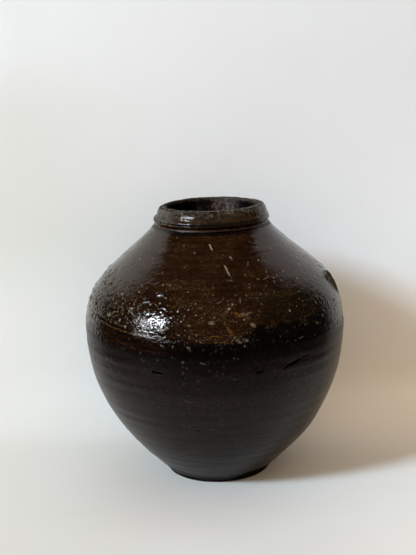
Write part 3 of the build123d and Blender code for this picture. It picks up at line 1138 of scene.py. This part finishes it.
def paperSheet(name, spots, faces, paint, camera, gloss, solid):
    mesh = bpy.data.meshes.new(name)
    mesh.from_pydata(spots, [], faces)
    mesh.polygons.foreach_set("use_smooth", np.ones(len(faces), bool))
    mesh.materials.append(paint)
    made = bpy.data.objects.new(name, mesh)
    bpy.context.scene.collection.objects.link(made)
    made.visible_camera, made.visible_glossy, made.visible_transmission = camera, gloss, gloss
    made.visible_diffuse, made.visible_shadow = solid, solid
    made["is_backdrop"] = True
    return made


def paperPaint():
    # paper that stands up from the table in a bend, where its tone is evened out, as it faces the light most
    s = studio
    p = Paint("paper")
    x, y, z = (p.axis(name) for name in "XYZ")
    upright = p.node("ShaderNodeMapRange", {}, (y, s["wallAt"] - s["bend"], s["wallAt"], 0, 1))
    flat = p.node("ShaderNodeMapRange", {}, (z, 0, s["bend"], 1, 0))
    facing = upright + flat
    # painted shade: the table is darker in front; it is paler at the back and at the right
    table = p.blend(y.step(-0.3, 0.05), s["floorFront"], s["floorBack"])
    table = p.blend(x.step(0.03, 0.2) * y.fall(-0.12, 0.02), table, s["floorRight"])

    def shadowed(colour, across, deep, low, high, shadow):
        away = across.maths("SQRT", across * across + deep * deep)
        return p.blend(away.fall(low, high) * shadow[0], colour, shadow[1])

    # painted shadows on the table, darker and browner, where the jar keeps the light off it
    table = shadowed(table, (x + 0.035) * 0.75, y + 0.085, 0.01, 0.12, s["shadow"])
    table = shadowed(table, x + 0.08, y - 0.005, 0, 0.12, s["brownShadow"])
    paper = p.blend(upright.maths("DIVIDE", upright, facing), table, s["wallPaper"])
    # tones: the paper's own mottle, darker at the upper right and left, painted light bounced into the bend
    # at the right, yellower low at the left, warmer in the left bend, and a warm tint on the jar's shadow at
    # the right, which is painted shade
    left = x.fall(-0.26, -0.02)
    places = {
        "mottled": p.noise(90, 90, 2, 0.5).step(0.35, 0.65),
        "upperRight": x.step(-0.2, 0.28) * z.step(0.22, 0.42),
        "upperLeft": left * z.step(0.13, 0.24) * z.fall(0.36, 0.46),
        "bouncedLight": x.step(0.05, 0.13) * y.step(-0.02, 0.06) * z.fall(0.02, 0.09),
        "yellowed": x.fall(-0.32, 0.16) * z.fall(0.12, 0.5),
        "bendLeft": left * z.step(0.01, 0.06) * z.fall(0.12, 0.2),
        "warmShadowRight": x.step(0.06, 0.14) * z.step(0.02, 0.06) * z.fall(0.12, 0.19),
    }
    for name, place in places.items():
        strength, tint = s["tones"][name]
        paper = p.blend(place * strength, paper, tint)
    evened = (1 - facing.maths("DIVIDE", 1, facing)) * (0.4 - x.step(0.04, 0.14) * 0.34)
    tinted = p.blend(evened, paper, (0, 0, 0))
    inputs = {"Base Color": tinted, "Roughness": 0.9, "Specular IOR Level": 0.05}
    front = p.node("ShaderNodeBsdfPrincipled", {}, inputs)
    # seen from its back the sheet is clear, so it hides nothing
    clear = p.node("ShaderNodeBsdfTransparent")
    back = p.node("ShaderNodeNewGeometry", out="Backfacing")
    p.output(p.node("ShaderNodeMixShader", {}, (back, front, clear)))
    return p.material


def sweep(left, right, topLeft, topRight, flare=0.0):
    # the sheet from its bend on the table to its upper edge, seen from the front
    bend, wallAt = studio["bend"], studio["wallAt"]
    turns = np.linspace(0, math.pi / 2, 24)
    line = [(wallAt - bend + bend * math.sin(t), bend - bend * math.cos(t)) for t in turns]
    spots = [(x, y, z) for y, z in line for x in (left, right)]
    spots += [(left - flare, wallAt, topLeft), (right + flare, wallAt, topRight)]
    faces = [(2 * k, 2 * k + 1, 2 * k + 3, 2 * k + 2) for k in range(len(line))]
    return spots, faces


def circle(radius, height, segments):
    turns = np.linspace(0, 2 * math.pi, segments + 1)[:-1]
    return [(radius * math.cos(t), radius * math.sin(t), height) for t in turns]


def disc(radius, height, segments=96):
    return circle(radius, height, segments), [tuple(range(segments))]


def drum(radius, bottom, top, segments=64):
    spots = circle(radius, bottom, segments) + circle(radius, top, segments) + [(0, 0, top), (0, 0, bottom)]
    faces = []
    for k in range(segments):
        after = (k + 1) % segments
        faces.append((k, after, segments + after, segments + k))
        faces += [(segments + k, segments + after, 2 * segments), (after, k, 2 * segments + 1)]
    return spots, faces


paperPiece = paperPaint()
paperSheet("floor", *disc(3.4, 0.0), paperPiece, True, False, True)
paperSheet("wall", *sweep(-3.2, 3.2, 2.6, 2.6), paperPiece, True, False, False)
# the glaze mirrors a smaller sheet, and a dim room beyond it
paperSheet("table_gloss", *disc(0.36, -0.0004), paperPiece, False, True, False)
paperSheet("wall_gloss", *sweep(-0.37, 0.39, 0.69, 0.84, 0.17), paperPiece, False, True, False)

# beyond the paper the camera sees a plain pale room
far = Paint("far paper")
far.output(far.node("ShaderNodeEmission", {}, {"Color": studio["farColour"], "Strength": 1.0}))
paperSheet("far_backdrop", *drum(3.3, -2.0, 5.0), far.material, True, False, False)


def aimed(made, place, target):
    made.location = place
    made.rotation_euler = (Vector(target) - Vector(place)).to_track_quat("-Z", "Y").to_euler()
    bpy.context.scene.collection.objects.link(made)
    return made


def areaLamp(name):
    how = windows[name]
    lamp = bpy.data.lights.new(name, "AREA")
    lamp.shape = "RECTANGLE"
    lamp.size, lamp.size_y = how["size"]
    lamp.energy, lamp.color = how["power"], how["colour"]
    turn, rise = math.radians(how["angle"]), math.radians(how["rise"])
    toPlace = (math.cos(rise) * math.cos(turn), math.cos(rise) * math.sin(turn), math.sin(rise))
    place = [v * studio["windowAway"] + c for v, c in zip(toPlace, studio["aim"])]
    return aimed(bpy.data.objects.new(name, lamp), place, studio["aim"])


window, pane = areaLamp("window"), areaLamp("window_pane")
window.visible_camera = window.visible_glossy = False
pane.visible_camera = pane.visible_diffuse = False

for name, place, power, colour, spread in fills:
    sun = bpy.data.lights.new(name, "SUN")
    sun.energy, sun.color, sun.angle = power, colour, math.radians(spread)
    lamp = aimed(bpy.data.objects.new(name, sun), place, (0, 0, 0.1))
    lamp.visible_glossy = False

world = bpy.data.worlds.new("room")
world.use_nodes = True
room = world.node_tree.nodes["Background"].inputs
room["Color"].default_value = studio["roomColour"]
room["Strength"].default_value = studio["roomStrength"]
bpy.context.scene.world = world
bpy.context.scene.view_settings.view_transform = "Standard"
print("studio made")

# The camera stands where the photograph was taken from, and leans as it did.
view = {"place": (-0.0054, -1.007, 0.4313), "down": 12.65, "lean": -1.91, "lens": 64.16}
lens = bpy.data.cameras.new("camera")
lens.sensor_width, lens.lens = 36.0, view["lens"]
lens.clip_start, lens.clip_end = 0.05, 50
camera = bpy.data.objects.new("camera", lens)
tipped = Matrix.Rotation(math.radians(90 - view["down"]), 4, "X")
look = tipped @ Matrix.Rotation(math.radians(view["lean"]), 4, "Z")
camera.matrix_world = Matrix.Translation(view["place"]) @ look
bpy.context.scene.collection.objects.link(camera)
bpy.context.scene.camera = camera

bpy.context.view_layer.update()
low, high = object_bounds()
print("scene ready")
